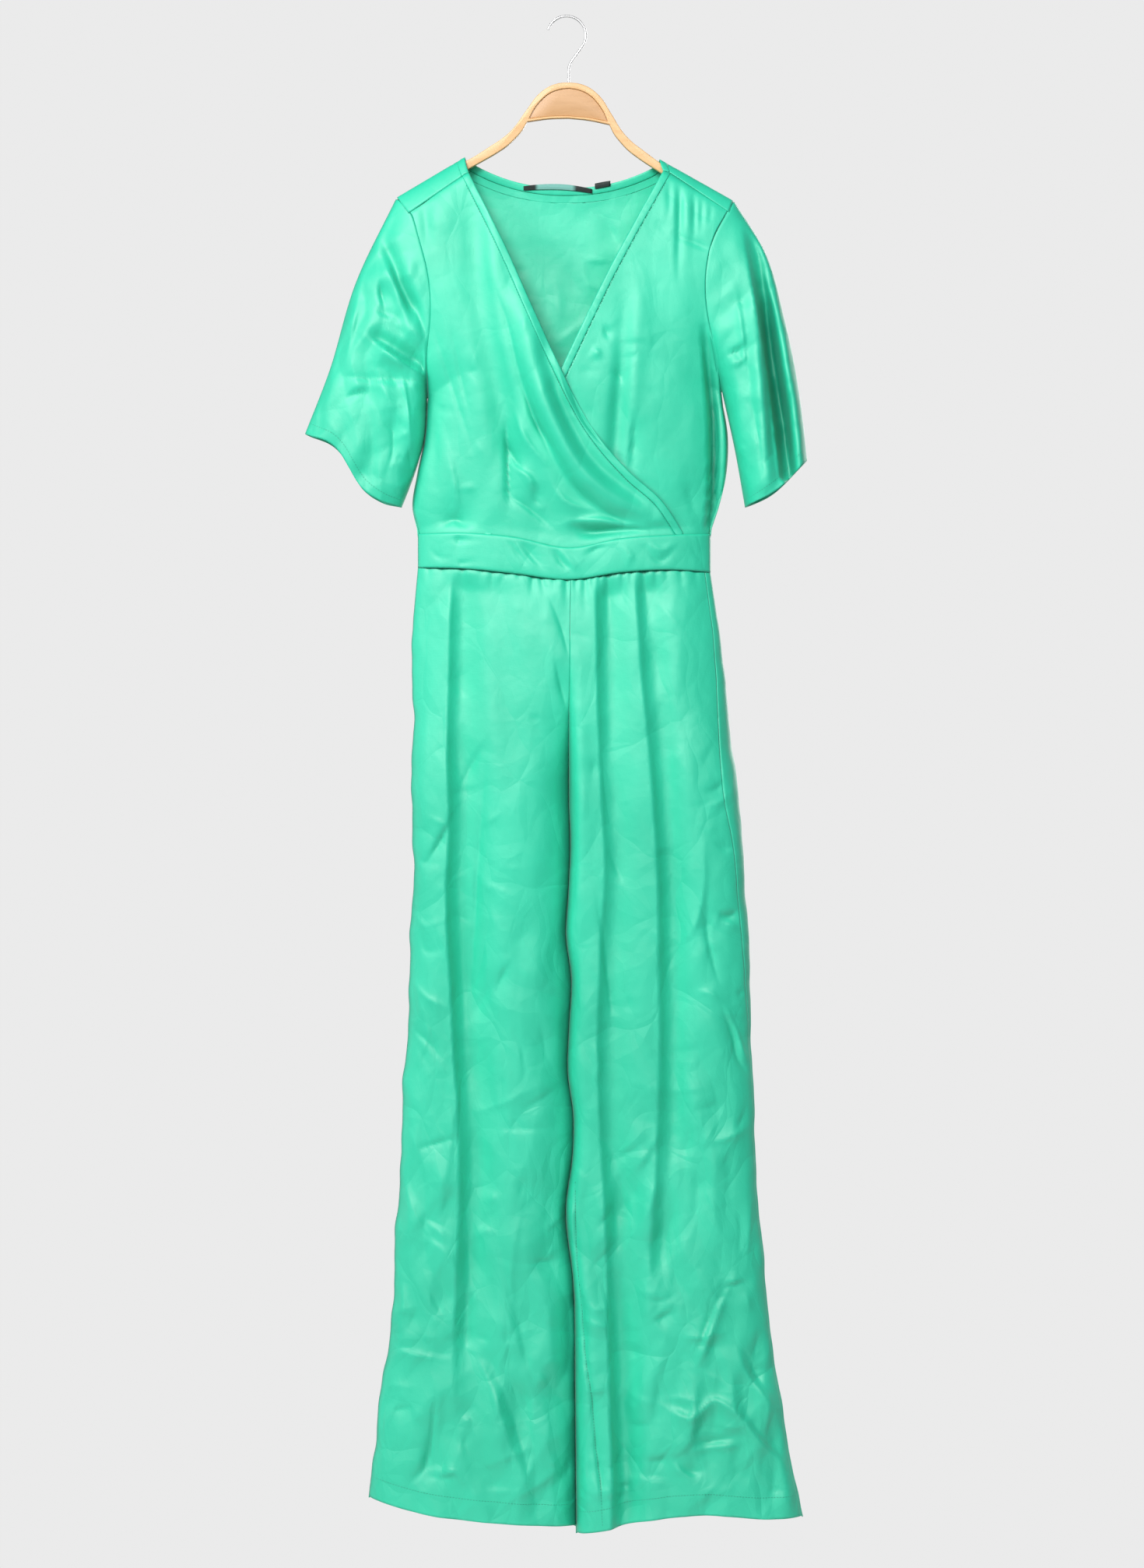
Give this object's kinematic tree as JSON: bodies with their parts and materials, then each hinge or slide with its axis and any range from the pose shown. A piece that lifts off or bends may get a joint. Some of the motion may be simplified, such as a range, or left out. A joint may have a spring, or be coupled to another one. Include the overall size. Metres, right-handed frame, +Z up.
{
  "type": "wrap-front jumpsuit on clothes hanger",
  "caption": "Wide-leg satin jumpsuit with a wrap-over V neck, short sleeves and a shaped waistband, hanging on a slim clothes hanger.",
  "frame": {"origin": "inner top of the hanger's hook, where it rests on a rail", "axes": "+Z up, the front faces -Y, +X is the wearer's left"},
  "size_m": [0.5506, 0.0933, 1.6578],
  "materials": {
    "satin": "mint green satin, creased",
    "label_cloth": "plain woven label, dark ends",
    "tab_tape": "plain black tape",
    "hanger_finish": "peach, satin smooth",
    "web_finish": "tan, fine grain",
    "steel": "polished wire"
  },
  "bodies": {
    "root": {"bodice_back": "satin", "bodice_front_right": "satin", "bodice_front_left": "satin", "binding_back": "satin", "binding_right": "satin", "binding_left": "satin", "waistband_front": "satin", "waistband_back": "satin", "sleeve_right": "satin", "sleeve_left": "satin", "leg_front_right": "satin", "leg_front_left": "satin", "leg_back_right": "satin", "leg_back_left": "satin", "neck_label": "label_cloth", "size_tab": "tab_tape", "hanger_arms": "hanger_finish", "hanger_web": "web_finish", "hook": "steel"}
  },
  "joints": []
}
